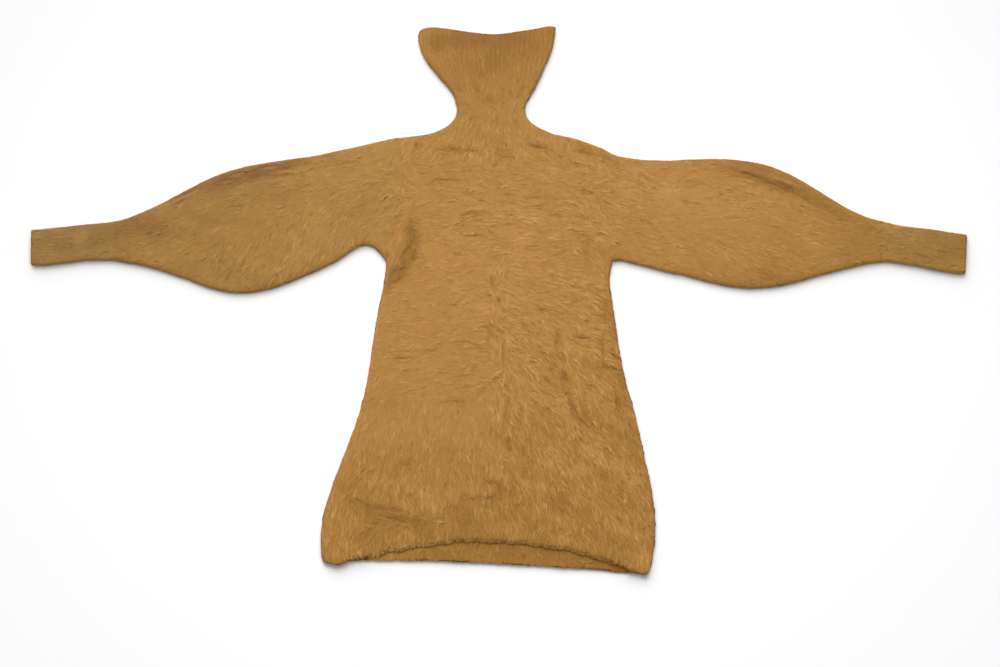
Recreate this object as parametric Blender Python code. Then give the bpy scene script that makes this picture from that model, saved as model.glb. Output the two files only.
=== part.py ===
# Turtleneck sweater laid flat on its back: front and back panels, two puffed sleeves gathered
# into deep cuffs, and a tall collar left open at its full height.
#
# Lengths are in millimetres and become metres when a mesh is made. X runs across the chest,
# Y from the hem up to the collar, Z up from the surface that the sweater lies on. Heights in the
# tables are measured in Y from the lowest corner of the hem, and widths in X from the centre front.
# Every piece is cloth of one thickness in two layers, an upper and a lower one, which turn into
# each other round the outline of the sweater.

from collections import namedtuple
from math import exp, hypot, pi, sin, sqrt

import bmesh
import bpy

# Driving dimensions
WALL = 4.0  # knitted ground about 2 mm thick, with the dense roots of its pile
FOLD_RADIUS = 4.5  # outer radius where the cloth turns over at the outline
SEAM_GAP = 0.3  # clearance between pieces that are sewn together
CROWN = 1.7  # how far the upper layer rises over the lower one, away from the outline
CROWN_RUN = 19.0  # distance in from an edge over which most of the crown rises
FOLD_INSETS = (1.3, 4.5)  # section points that round the turn of the cloth, from the outline in
INNER_INSETS = (4.0, 4.2, 4.6)  # the same on the inner side of a tube: its own turn comes first
ROW_SPACING = 36.0  # distance between sections up the body
LEFT_ARMHOLE_CURVE = 18.0  # how far the front of each armhole seam curves in towards the chest
RIGHT_ARMHOLE_CURVE = 26.0
CURVE_RUN = (1.0, 0.6, 0.25)  # how the first sections of a sleeve follow that curve

MID_HEIGHT = FOLD_RADIUS  # height of the plane in which the two layers meet
HALF_GAP = SEAM_GAP / 2.0
MM_PER_METRE = 1000.0
LEAST_HALF_HOLLOW = 0.2  # the hollow of a tube is at least this high above and below its middle
THINNEST = 0.05  # a panel thinner than this has turned into its own edge

LEFT_SHOULDER = (-179.0, 804.0)
RIGHT_SHOULDER = (187.0, 778.0)
LEFT_UNDERARM = (-196.0, 551.0)
RIGHT_UNDERARM = (194.0, 551.0)
LEFT_NECK = (-146.0, 807.0)
RIGHT_NECK = (96.0, 811.0)
SHOULDER_BOW = 5.0  # how far the right shoulder rounds out between neck and sleeve


def table(columns, rows):
    row = namedtuple("Row", columns)
    return [row(*values) for values in rows]


# Side edges of the body, from the hem up to the underarms
SIDES = table("height left right", [
    (11, -268, 235),
    (22, -279, 238),
    (37, -282, 242),
    (66, -284, 246),
    (96, -281, 247),
    (126, -274, 244),
    (156, -266, 240),
    (186, -256, 234),
    (217, -246, 230),
    (248, -236, 225),
    (280, -228, 219),
    (312, -221, 211),
    (345, -218, 204),
    (377, -215, 200),
    (411, -212, 197),
    (443, -208, 194),
    (477, -204, 191),
    (519, -196, 184),
    (535, -194, 186),
    (551, -196, 194),
])

# Height of the two hems, by share of the width from the left side
HEMS = table("share front back", [
    (0.00, 24, 25),
    (0.01, 16, 18),
    (0.03, 12, 15),
    (0.06, 18, 19),
    (0.10, 24, 22),
    (0.15, 31, 23),
    (0.21, 38, 23),
    (0.30, 46, 22),
    (0.39, 53, 21),
    (0.51, 56, 18),
    (0.66, 48, 13),
    (0.76, 38, 10),
    (0.85, 26, 6),
    (0.90, 15, 4),
    (0.94, 5, 2),
    (0.97, -3, -1),
    (0.99, 0, 1),
    (1.00, 11, 12),
])

# Left sleeve, from the armhole to the cuff: the ends of each section at its upper and lower edge
LEFT_SLEEVE = table("upper_x upper_y lower_x lower_y", [
    (-179, 804, -196, 551),
    (-205, 799, -209, 572),
    (-232, 791, -231, 588),
    (-262, 783, -254, 576),
    (-292, 775, -279, 552),
    (-322, 767, -307, 537),
    (-355, 761, -339, 521),
    (-400, 754, -382, 500),
    (-447, 745, -427, 489),
    (-488, 732, -466, 490),
    (-524, 714, -504, 502),
    (-556, 693, -537, 517),
    (-590, 670, -573, 530),
    (-622, 652, -608, 541),
    (-648, 638, -638, 548),
    (-674, 630, -665, 552),
])

RIGHT_SLEEVE = table("upper_x upper_y lower_x lower_y", [
    (187, 778, 194, 551),
    (203, 768, 204, 554),
    (222, 761, 217, 552),
    (246, 757, 238, 545),
    (274, 756, 264, 537),
    (304, 755, 292, 529),
    (338, 757, 324, 522),
    (380, 759, 363, 509),
    (428, 757, 408, 499),
    (471, 748, 451, 499),
    (506, 733, 487, 504),
    (540, 711, 521, 515),
    (572, 686, 556, 526),
    (608, 657, 595, 537),
    (640, 639, 629, 546),
    (669, 630, 659, 550),
])

LEFT_CUFF = table("upper_x upper_y lower_x lower_y", [
    (-674, 630, -665, 552),
    (-698, 627, -690, 554),
    (-726, 624, -718, 553),
    (-756, 620, -748, 548),
    (-786, 616, -777, 543),
    (-817, 614, -808, 543),
])

RIGHT_CUFF = table("upper_x upper_y lower_x lower_y", [
    (669, 630, 659, 550),
    (693, 623, 684, 549),
    (721, 618, 712, 543),
    (751, 615, 741, 536),
    (780, 609, 769, 529),
    (813, 604, 799, 526),
])

# Collar, from the neckline to the open top: its two edges and the dip of the seam or ribs in front
COLLAR = table("left_x left_y right_x right_y dip", [
    (-146, 807, 96, 811, 36),
    (-119, 812, 77, 820, 28),
    (-94, 828, 58, 832, 19),
    (-80, 846, 48, 849, 11),
    (-77, 868, 44, 869, 5),
    (-82, 888, 52, 888, 2),
    (-90, 906, 62, 906, 0),
    (-103, 923, 70, 923, 0),
    (-116, 941, 77, 941, 0),
    (-130, 960, 84, 960, 0),
    (-142, 980, 92, 980, 0),
    (-151, 1003, 99, 1003, 0),
    (-155, 1031, 106, 1048, 0),
])

# Wave of the open top edge of the collar, by share of its width
TOP_EDGE = table("share rise", [
    (0.00, 0),
    (0.03, 11),
    (0.08, 14),
    (0.15, 12),
    (0.25, 5),
    (0.35, -2),
    (0.45, -6),
    (0.55, -12),
    (0.65, -10),
    (0.75, -7),
    (0.85, -3),
    (0.95, 3),
    (1.00, 0),
])

# Largest folds of the upper layer: the path of each, how wide it is and how high. A trough is negative
FOLDS = table("path half_width height", [
    (((-545, 682), (-430, 722), (-300, 743)), 13, -1.3),  # under the upper edge of the left sleeve
    (((-560, 640), (-380, 600)), 22, 0.6),  # along the fullest part of the left sleeve
    (((350, 745), (430, 728), (545, 668)), 13, -1.4),  # under the upper edge of the right sleeve
    (((400, 610), (560, 620)), 22, 0.6),  # along the fullest part of the right sleeve
    (((110, 792), (165, 774), (222, 738)), 12, -1.4),  # across the right shoulder
    (((-150, 600), (-186, 500)), 14, -1.3),  # down from the left underarm
    (((172, 520), (178, 410), (190, 340)), 14, -0.9),  # beside the right side
    (((-13, 560), (2, 300)), 13, -0.7),  # down the centre front
    (((88, 440), (124, 300), (170, 205)), 16, -1.0),  # from the waist down to the right hip
    (((-250, 118), (-110, 84)), 20, -1.0),  # over the left end of the hem
    (((-20, 130), (150, 105)), 24, 0.5),  # over the right half of the hem
])

# Where the columns of points fall across each piece, as shares of its width. The front neckline
# begins to dip at the first of its shares, so that by the outline it runs with the back one, and
# is at its full depth from FULL_DIP_SHARE on
NECK_SHARES = (0.03, 0.08, 0.15, 0.25, 0.35, 0.45, 0.55, 0.65, 0.75, 0.85, 0.92, 0.97)
FULL_DIP_SHARE = 0.25
BACK_NECK_SHARES = (0.15, 0.35, 0.55, 0.75)
ARMHOLE_SHARES = tuple(step / 9.0 for step in range(1, 9))
CUFF_SHARES = (0.3, 0.5, 0.7)
LEFT_SHOULDER_SHARES = (0.35, 0.68)
RIGHT_SHOULDER_SHARES = (0.25, 0.50, 0.72, 0.88)

# Colour (linear) and roughness of each piece's knit
FURRY_KNIT = ((0.392, 0.205, 0.060, 1.0), 0.95)
SLEEVE_KNIT = ((0.376, 0.201, 0.064, 1.0), 0.93)
CUFF_RIB = ((0.319, 0.184, 0.064, 1.0), 0.90)
COLLAR_RIB = ((0.402, 0.209, 0.058, 1.0), 0.92)


def mix(a, b, share):
    return a + (b - a) * share


def mix_points(a, b, share):
    return (mix(a[0], b[0], share), mix(a[1], b[1], share))


def distance(a, b):
    return hypot(b[0] - a[0], b[1] - a[1])


def right_shoulder_shares():
    run = distance(RIGHT_SHOULDER, RIGHT_NECK)
    near_sleeve = [1.0 - inset / run for inset in (0.0, *FOLD_INSETS)]
    return list(RIGHT_SHOULDER_SHARES) + near_sleeve[::-1]


def right_shoulder_point(share):
    """A point on the right shoulder line, from the neck at 0 to the sleeve at 1."""
    x, y = mix_points(RIGHT_NECK, RIGHT_SHOULDER, share)
    return (x, y + SHOULDER_BOW * sin(pi * share))


def look_up(rows, key, value, column):
    """Read one column of a table where another column has a given value."""
    for low, high in zip(rows, rows[1:]):
        if getattr(low, key) <= value <= getattr(high, key):
            run = getattr(high, key) - getattr(low, key)
            share = (value - getattr(low, key)) / run
            return mix(getattr(low, column), getattr(high, column), share)
    end = rows[0] if value < getattr(rows[0], key) else rows[-1]
    return getattr(end, column)


def distance_to_segment(point, start, end):
    run_x = end[0] - start[0]
    run_y = end[1] - start[1]
    along = (point[0] - start[0]) * run_x + (point[1] - start[1]) * run_y
    share = min(1.0, max(0.0, along / (run_x * run_x + run_y * run_y)))
    return distance(point, (start[0] + share * run_x, start[1] + share * run_y))


# The outline and the upper surface


def outline_chains():
    """The edges round which the cloth turns over: all but the hems, cuff ends and collar top."""
    left_side = [(row.left, row.height) for row in SIDES]
    right_side = [(row.right, row.height) for row in SIDES]
    left_tube = LEFT_SLEEVE + LEFT_CUFF[1:]
    right_tube = RIGHT_SLEEVE + RIGHT_CUFF[1:]
    left_collar = [(row.left_x, row.left_y) for row in COLLAR]
    right_collar = [(row.right_x, row.right_y) for row in COLLAR]
    right_shoulder = [right_shoulder_point(share) for share in right_shoulder_shares()[:-1]]
    return [
        left_side + [(row.lower_x, row.lower_y) for row in left_tube[1:]],
        right_side + [(row.lower_x, row.lower_y) for row in right_tube[1:]],
        left_collar[::-1] + [(row.upper_x, row.upper_y) for row in left_tube],
        right_collar[::-1] + right_shoulder + [(row.upper_x, row.upper_y) for row in right_tube],
    ]


OUTLINE = [
    segment
    for chain in outline_chains()
    for segment in zip(chain, chain[1:])
]


def depth_in(point):
    """How far a plan point lies in from the outline."""
    return min(distance_to_segment(point, start, end) for start, end in OUTLINE)


def turn(radius, depth):
    """Height over the middle plane of cloth that turns over with this radius."""
    inside = radius - min(max(depth, 0.0), radius)
    return sqrt(radius * radius - inside * inside)


def front_hem_at(x):
    share = (x - SIDES[0].left) / (SIDES[0].right - SIDES[0].left)
    return look_up(HEMS, "share", share, "front")


def relief(point, depth):
    """Rise of the upper layer: a low crown inside its edges, with the largest folds in it."""
    from_hem = point[1] - front_hem_at(point[0])
    from_edge = min(depth - FOLD_RADIUS, from_hem)
    if from_edge <= 0.0:
        return 0.0
    rise = CROWN
    for fold in FOLDS:
        nearest = min(distance_to_segment(point, a, b) for a, b in zip(fold.path, fold.path[1:]))
        away = nearest / fold.half_width
        rise += fold.height * exp(-away * away)
    return rise * (1.0 - exp(-from_edge / CROWN_RUN))


def upper_outside(point):
    depth = depth_in(point)
    return MID_HEIGHT + turn(FOLD_RADIUS, depth) + relief(point, depth)


def lower_outside(point):
    return MID_HEIGHT - turn(FOLD_RADIUS, depth_in(point))


# Building meshes


def knit_material(name, finish):
    colour, roughness = finish
    material = bpy.data.materials.new(name)
    material.use_nodes = True
    shader = material.node_tree.nodes["Principled BSDF"]
    shader.inputs["Base Color"].default_value = colour
    shader.inputs["Roughness"].default_value = roughness
    shader.inputs["Metallic"].default_value = 0.0
    material.diffuse_color = colour
    return material


class Loft:
    """A closed mesh built from rows of points, one row for each section of the cloth."""

    def __init__(self, name, finish):
        self.name = name
        self.finish = finish
        self.points = []
        self.faces = []

    def point(self, plan, height):
        self.points.append((plan[0], plan[1], height))
        return len(self.points) - 1

    def face(self, *corners):
        """Add a face, leaving out corners that are one and the same point."""
        ring = [corner for i, corner in enumerate(corners) if corner != corners[i - 1]]
        if len(ring) > 2:
            self.faces.append(ring)

    def bridge(self, row, next_row, closed=False):
        count = len(row)
        for i in range(count if closed else count - 1):
            j = (i + 1) % count
            self.face(row[i], row[j], next_row[j], next_row[i])

    def make_object(self, origin):
        mesh = bpy.data.meshes.new(self.name)
        metres = [
            ((x - origin[0]) / MM_PER_METRE, (y - origin[1]) / MM_PER_METRE, z / MM_PER_METRE)
            for x, y, z in self.points
        ]
        mesh.from_pydata(metres, [], self.faces)
        shape = bmesh.new()
        shape.from_mesh(mesh)
        bmesh.ops.recalc_face_normals(shape, faces=shape.faces)
        shape.to_mesh(mesh)
        shape.free()
        mesh.materials.append(knit_material(self.name + "_knit", self.finish))
        mesh.shade_smooth()
        return bpy.data.objects.new(self.name, mesh)


# The body: two panels, each with an outer and an inner side over one grid of plan points


def flat_dip(share):
    """Depth of a dip with a level middle half, by share of its width: 0 at its ends, 1 in the middle."""
    inside = min(share, 1.0 - share) - NECK_SHARES[0]
    run = min(1.0, max(0.0, inside / (FULL_DIP_SHARE - NECK_SHARES[0])))
    return run * run * run * (run * (6.0 * run - 15.0) + 10.0)


def armhole(shoulder, underarm, curve, share):
    """A point on an armhole seam, from the underarm at 0 to the shoulder at 1."""
    straight = mix_points(underarm, shoulder, share)
    return (straight[0] + curve * sin(pi * share) ** 2, straight[1])


def neckline(dip, share):
    straight = mix_points(LEFT_NECK, RIGHT_NECK, share)
    return (straight[0], straight[1] - dip * flat_dip(share))


def top_edge(dip, neck_shares):
    """Points along the top of a panel: left shoulder, neckline, right shoulder."""
    left_run = distance(LEFT_SHOULDER, LEFT_NECK)
    left_shares = [inset / left_run for inset in (0.0, *FOLD_INSETS)]
    left_shares += LEFT_SHOULDER_SHARES
    points = [mix_points(LEFT_SHOULDER, LEFT_NECK, share) for share in left_shares]
    points += [neckline(dip, share) for share in (0.0, *neck_shares, 1.0)]
    return points + [right_shoulder_point(share) for share in right_shoulder_shares()]


def skirt_rows(hem, column_shares):
    """Rows of plan points from a hem up to just under the underarms."""
    count = round(LEFT_UNDERARM[1] / ROW_SPACING)
    rows = []
    for step in range(count):
        row = []
        for share in column_shares:
            low = look_up(HEMS, "share", share, hem)
            height = mix(low, LEFT_UNDERARM[1], step / count)
            left = look_up(SIDES, "height", height, "left")
            right = look_up(SIDES, "height", height, "right")
            row.append((mix(left, right, share), height))
        rows.append(row)
    return rows


def yoke_rows(top, curves, column_shares):
    """Rows of plan points from underarm to underarm, then up between the armholes to the top."""
    left_stops = stops(distance(LEFT_SHOULDER, LEFT_UNDERARM), ARMHOLE_SHARES, (0.0, *FOLD_INSETS))
    right_stops = stops(distance(RIGHT_SHOULDER, RIGHT_UNDERARM), ARMHOLE_SHARES, (0.0, *FOLD_INSETS))
    rows = []
    for left_stop, right_stop in zip(left_stops, right_stops):
        left = armhole(LEFT_SHOULDER, LEFT_UNDERARM, curves[0], left_stop)
        right = armhole(RIGHT_SHOULDER, RIGHT_UNDERARM, curves[1], right_stop)
        row = []
        for share, edge in zip(column_shares, top):
            height = mix(LEFT_UNDERARM[1], edge[1], mix(left_stop, right_stop, share))
            row.append((mix(left[0], right[0], share), height))
        row[0] = (row[0][0] + HALF_GAP, row[0][1])
        row[-1] = (row[-1][0] - HALF_GAP, row[-1][1])
        rows.append(row)
    neck_start = LEFT_NECK[0] - HALF_GAP
    neck_end = RIGHT_NECK[0] + HALF_GAP
    rows[-1] = [(x, y - HALF_GAP) if neck_start < x < neck_end else (x, y) for x, y in rows[-1]]
    return rows


def body_panel(name, hem, dip, curves, neck_shares, outside, inside):
    """A panel from its plan grid and the heights of its outer and inner sides."""
    top = top_edge(dip, neck_shares)
    width = RIGHT_SHOULDER[0] - LEFT_SHOULDER[0]
    column_shares = [(point[0] - LEFT_SHOULDER[0]) / width for point in top]
    grid = skirt_rows(hem, column_shares) + yoke_rows(top, curves, column_shares)
    panel = Loft(name, FURRY_KNIT)
    outer_rows = []
    inner_rows = []
    for row in grid:
        outer_row = []
        inner_row = []
        for plan in row:
            outer = outside(plan)
            inner = inside(plan)
            outer_row.append(panel.point(plan, outer))
            folded = abs(outer - inner) < THINNEST
            inner_row.append(outer_row[-1] if folded else panel.point(plan, inner))
        outer_rows.append(outer_row)
        inner_rows.append(inner_row)
    for rows in (outer_rows, inner_rows):
        for row, next_row in zip(rows, rows[1:]):
            panel.bridge(row, next_row)
    panel.bridge(outer_rows[0], inner_rows[0])
    panel.bridge(outer_rows[-1], inner_rows[-1])
    for side in (0, -1):
        panel.bridge([row[side] for row in outer_rows], [row[side] for row in inner_rows])
    return panel


def front_outside(plan):
    return max(MID_HEIGHT + HALF_GAP, upper_outside(plan))


def front_inside(plan):
    return max(MID_HEIGHT + HALF_GAP, upper_outside(plan) - WALL)


def back_outside(plan):
    return min(MID_HEIGHT - HALF_GAP, lower_outside(plan))


def back_inside(plan):
    return min(MID_HEIGHT - HALF_GAP, lower_outside(plan) + WALL)


def front():
    curves = (LEFT_ARMHOLE_CURVE, -RIGHT_ARMHOLE_CURVE)
    return body_panel("front", "front", COLLAR[0].dip, curves, NECK_SHARES, front_outside, front_inside)


def back():
    return body_panel("back", "back", 0.0, (0.0, 0.0), BACK_NECK_SHARES, back_outside, back_inside)


# Sleeves, cuffs and collar: flattened tubes, lofted through rings of points


def stops(width, shares, insets):
    """Shares of a section's width at which it has points: close together where the cloth turns."""
    near = [inset / width for inset in insets]
    return near + list(shares) + [1.0 - share for share in reversed(near)]


def ring(tube, upper_path, lower_path, width, shares):
    """The outer and inner loop of one section. A path gives the plan point at a share of the width."""
    loops = []
    for insets, wall in (((0.0, *FOLD_INSETS), 0.0), (INNER_INSETS, WALL)):
        marks = stops(width, shares, insets)
        least = 0.0 if wall == 0.0 else LEAST_HALF_HOLLOW
        loop = [tube.point(upper_path(marks[0]), MID_HEIGHT)]
        for mark in marks[1:-1]:
            plan = upper_path(mark)
            loop.append(tube.point(plan, max(MID_HEIGHT + least, upper_outside(plan) - wall)))
        loop.append(tube.point(upper_path(marks[-1]), MID_HEIGHT))
        for mark in marks[-2:0:-1]:
            plan = lower_path(mark)
            loop.append(tube.point(plan, min(MID_HEIGHT - least, lower_outside(plan) + wall)))
        loops.append(loop)
    return loops


def close_tube(tube, rings):
    for (outer, inner), (next_outer, next_inner) in zip(rings, rings[1:]):
        tube.bridge(outer, next_outer, closed=True)
        tube.bridge(inner, next_inner, closed=True)
    for outer, inner in (rings[0], rings[-1]):
        tube.bridge(outer, inner, closed=True)
    return tube


def straight_path(start, end, shift):
    def path(share):
        x, y = mix_points(start, end, share)
        return (x + shift, y)
    return path


def arm_tube(name, rows, shares, curve, finish):
    """A sleeve or cuff. Its two ends stop short of the seams by half the gap."""
    tube = Loft(name, finish)
    outward = HALF_GAP if rows[-1].upper_x > 0 else -HALF_GAP
    rings = []
    for place, row in enumerate(rows):
        upper = (row.upper_x, row.upper_y)
        lower = (row.lower_x, row.lower_y)
        shift = outward if place == 0 else 0.0
        if place == len(rows) - 1:
            shift = -outward
        bend = curve * CURVE_RUN[place] if place < len(CURVE_RUN) else 0.0

        def upper_path(share):
            x, y = armhole(upper, lower, bend, 1.0 - share)
            return (x + shift, y)

        lower_path = straight_path(upper, lower, shift)
        rings.append(ring(tube, upper_path, lower_path, distance(upper, lower), shares))
    return close_tube(tube, rings)


def path_through(points, shares):
    """A path of straight runs through points that lie at given shares of the width."""
    def path(share):
        for place in range(1, len(shares)):
            if share <= shares[place]:
                run = shares[place] - shares[place - 1]
                return mix_points(points[place - 1], points[place], (share - shares[place - 1]) / run)
        return points[-1]
    return path


def collar():
    tube = Loft("collar", COLLAR_RIB)
    nodes = (0.0, *NECK_SHARES, 1.0)
    rings = []
    for place, row in enumerate(COLLAR):
        left = (row.left_x, row.left_y + (HALF_GAP if place == 0 else 0.0))
        right = (row.right_x, row.right_y + (HALF_GAP if place == 0 else 0.0))
        upper_points = []
        lower_points = []
        for share in nodes:
            x, y = mix_points(left, right, share)
            wave = look_up(TOP_EDGE, "share", share, "rise") if row is COLLAR[-1] else 0.0
            upper_points.append((x, y + wave - row.dip * flat_dip(share)))
            lower_points.append((x, y + wave))
        upper_path = path_through(upper_points, nodes)
        lower_path = path_through(lower_points, nodes)
        rings.append(ring(tube, upper_path, lower_path, distance(left, right), NECK_SHARES))
    return close_tube(tube, rings)


def clear_scene():
    for old in list(bpy.data.objects):
        bpy.data.objects.remove(old, do_unlink=True)


def main():
    clear_scene()
    pieces = [
        front(),
        back(),
        arm_tube("sleeve_left", LEFT_SLEEVE, ARMHOLE_SHARES, LEFT_ARMHOLE_CURVE, SLEEVE_KNIT),
        arm_tube("sleeve_right", RIGHT_SLEEVE, ARMHOLE_SHARES, -RIGHT_ARMHOLE_CURVE, SLEEVE_KNIT),
        arm_tube("cuff_left", LEFT_CUFF, CUFF_SHARES, 0.0, CUFF_RIB),
        arm_tube("cuff_right", RIGHT_CUFF, CUFF_SHARES, 0.0, CUFF_RIB),
        collar(),
    ]
    across = [point[0] for piece in pieces for point in piece.points]
    along = [point[1] for piece in pieces for point in piece.points]
    origin = ((min(across) + max(across)) / 2.0, (min(along) + max(along)) / 2.0)
    collection = bpy.data.collections.new("turtleneck_sweater")
    bpy.context.scene.collection.children.link(collection)
    for piece in pieces:
        collection.objects.link(piece.make_object(origin))


main()
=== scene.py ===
import math

import bmesh
import bpy
import numpy as np
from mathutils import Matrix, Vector
from mathutils.bvhtree import BVHTree


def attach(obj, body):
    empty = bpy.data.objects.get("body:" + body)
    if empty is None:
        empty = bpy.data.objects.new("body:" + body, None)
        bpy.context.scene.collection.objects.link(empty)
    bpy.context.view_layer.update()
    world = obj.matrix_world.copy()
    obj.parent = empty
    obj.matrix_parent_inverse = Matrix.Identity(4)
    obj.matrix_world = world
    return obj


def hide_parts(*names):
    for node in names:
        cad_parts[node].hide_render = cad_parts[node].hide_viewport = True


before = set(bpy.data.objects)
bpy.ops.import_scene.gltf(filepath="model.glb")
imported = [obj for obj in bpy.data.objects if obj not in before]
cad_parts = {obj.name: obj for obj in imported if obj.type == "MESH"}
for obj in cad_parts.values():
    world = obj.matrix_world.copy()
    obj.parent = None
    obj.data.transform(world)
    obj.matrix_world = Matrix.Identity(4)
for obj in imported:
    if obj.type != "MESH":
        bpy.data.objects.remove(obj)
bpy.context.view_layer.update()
print("frame loaded:", len(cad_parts), "cloth nodes")

mm = 0.001


# small helpers

def linear(hexColour):
    channels = [int(hexColour[i:i + 2], 16) / 255 for i in (1, 3, 5)]
    return tuple(c / 12.92 if c <= 0.04045 else ((c + 0.055) / 1.055) ** 2.4 for c in channels) + (1.0,)


def deselectAll():
    for item in bpy.context.selected_objects:
        item.select_set(False)


def addNode(tree, kind, settings=None, inputs=None):
    node = tree.nodes.new(kind)
    for name, value in (settings or {}).items():
        setattr(node, name, value)
    for name, value in (inputs or {}).items():
        if isinstance(value, bpy.types.NodeSocket):
            tree.links.new(value, node.inputs[name])
        else:
            node.inputs[name].default_value = value
    return node


def setRamp(ramp, stops):
    while len(ramp.elements) < len(stops):
        ramp.elements.new(0.5)
    for element, (place, colour) in zip(ramp.elements, stops):
        element.position = place
        element.color = colour


def mixed(a, b, share):
    return a * (1 - share) + b * share


def unit(vectors):
    return vectors / np.maximum(np.linalg.norm(vectors, axis=-1), 1e-9)[..., None]


def vectorsOf(values, name):
    found = np.zeros(len(values) * 3)
    values.foreach_get(name, found)
    return found.reshape(-1, 3)


def pointsOf(item):
    return vectorsOf(item.data.vertices, "co")


def normalsOf(item):
    return vectorsOf(item.data.vertex_normals, "vector")


def movePoints(item, points):
    item.data.vertices.foreach_set("co", points.ravel())
    item.data.update()


def addLayer(mesh, name, values, kind="FLOAT"):
    layer = mesh.attributes.new(name, kind, "POINT")
    layer.data.foreach_set("value" if kind == "FLOAT" else "vector", values.reshape(-1))


# a smooth, repeatable wander between about -1 and 1 over the cloth; wavelength in millimetres
def wander(places, wavelength, seed):
    draw = np.random.default_rng(seed)
    turns = draw.uniform(0, 2 * math.pi, 9)
    waves = 2 * math.pi / (wavelength * draw.uniform(0.6, 1.7, 9))
    starts = draw.uniform(0, 2 * math.pi, 9)
    along = places[:, :1] * np.cos(turns) + places[:, 1:2] * np.sin(turns)
    return np.sin(along * waves + starts).sum(axis=1) / 3


# tables of strokes: each row lists the points along one in millimetres (x, y, x, y and so on),
# then its half width and its height, which is negative for a trough
def strokesFrom(rows):
    return [(list(zip(row[:-2:2], row[1:-2:2])), row[-2], row[-1]) for row in rows]


# the creases that show
creases = strokesFrom([
    (-519, 171, -424, 196, -301, 219, 12, -2.4), (-500, 143, -400, 168, -320, 188, 17, 1.0),
    (-560, 118, -505, 96, -440, 96, 14, -1.0), (358, 205, 440, 196, 540, 144, 11, -1.8),
    (400, 222, 470, 204, 560, 156, 12, 0.7), (130, 262, 166, 250, 212, 222, 9, -1.4),
    (112, 244, 160, 228, 210, 198, 13, 1.0), (-150, 78, -160, 30, -180, -21, 10, -2.2),
    (-128, 60, -137, 10, -150, -40, 13, 0.9), (-11, 20, 2, -110, 6, -233, 9, -0.9),
    (91, -97, 118, -220, 166, -300, 14, -1.0), (112, -110, 148, -215, 186, -300, 13, 0.8),
    (178, -96, 186, -150, 198, -200, 13, -1.0), (-244, -405, -180, -428, -112, -440, 18, -0.6),
    (-20, -388, 60, -402, 150, -418, 20, 0.7), (-124, 500, -113, 478, -108, 452, 16, -2.2),
    (-140, 252, -60, 247, 20, 245, 92, 252, 10, -0.6), (-177, 262, -165, 167, -188, 30, 8, -0.4),
    (186, 240, 160, 147, 185, 24, 8, -0.4),
])

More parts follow.
